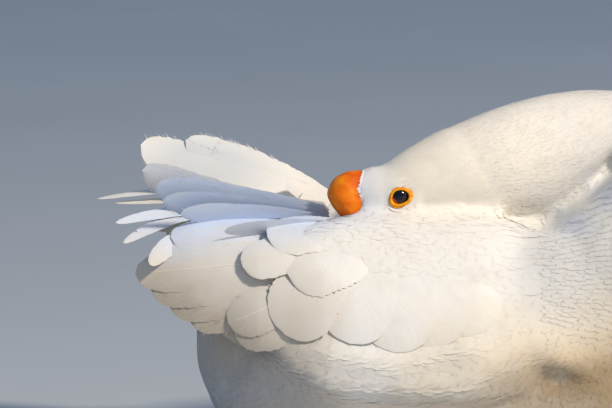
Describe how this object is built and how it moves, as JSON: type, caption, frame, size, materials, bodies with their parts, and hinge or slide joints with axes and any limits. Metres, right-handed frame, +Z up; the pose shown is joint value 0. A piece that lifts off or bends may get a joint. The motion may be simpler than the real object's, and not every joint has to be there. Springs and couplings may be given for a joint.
{
  "type": "resting white chinese goose",
  "caption": "Life-size still model of a white Chinese goose resting on its belly, neck folded back, head laid on its back and bill tucked under a wing.",
  "frame": {"origin": "middle of the flat under the belly, on the surface the goose rests on", "axes": "+X towards the breast, +Y towards the goose's left wing, +Z up"},
  "size_m": [0.4863, 0.2346, 0.297],
  "materials": {
    "feathers": "matte white feathers, cream along the shafts",
    "bill": "satin orange horn",
    "eyelid": "orange bare skin",
    "eye": "wet gloss",
    "feet": "scaled orange skin"
  },
  "bodies": {
    "root": {"torso": "feathers", "neck_lower": "feathers", "neck_bend": "feathers", "neck_upper": "feathers", "head": "feathers", "wing_right": "feathers", "wing_left": "feathers", "tail": "feathers", "knob": "bill", "bill_upper": "bill", "bill_lower": "bill", "eye_right": "eye", "eye_left": "eye", "eyelid_right": "eyelid", "eyelid_left": "eyelid", "leg_right": "feet", "leg_left": "feet", "foot_right": "feet", "foot_left": "feet"}
  },
  "joints": []
}
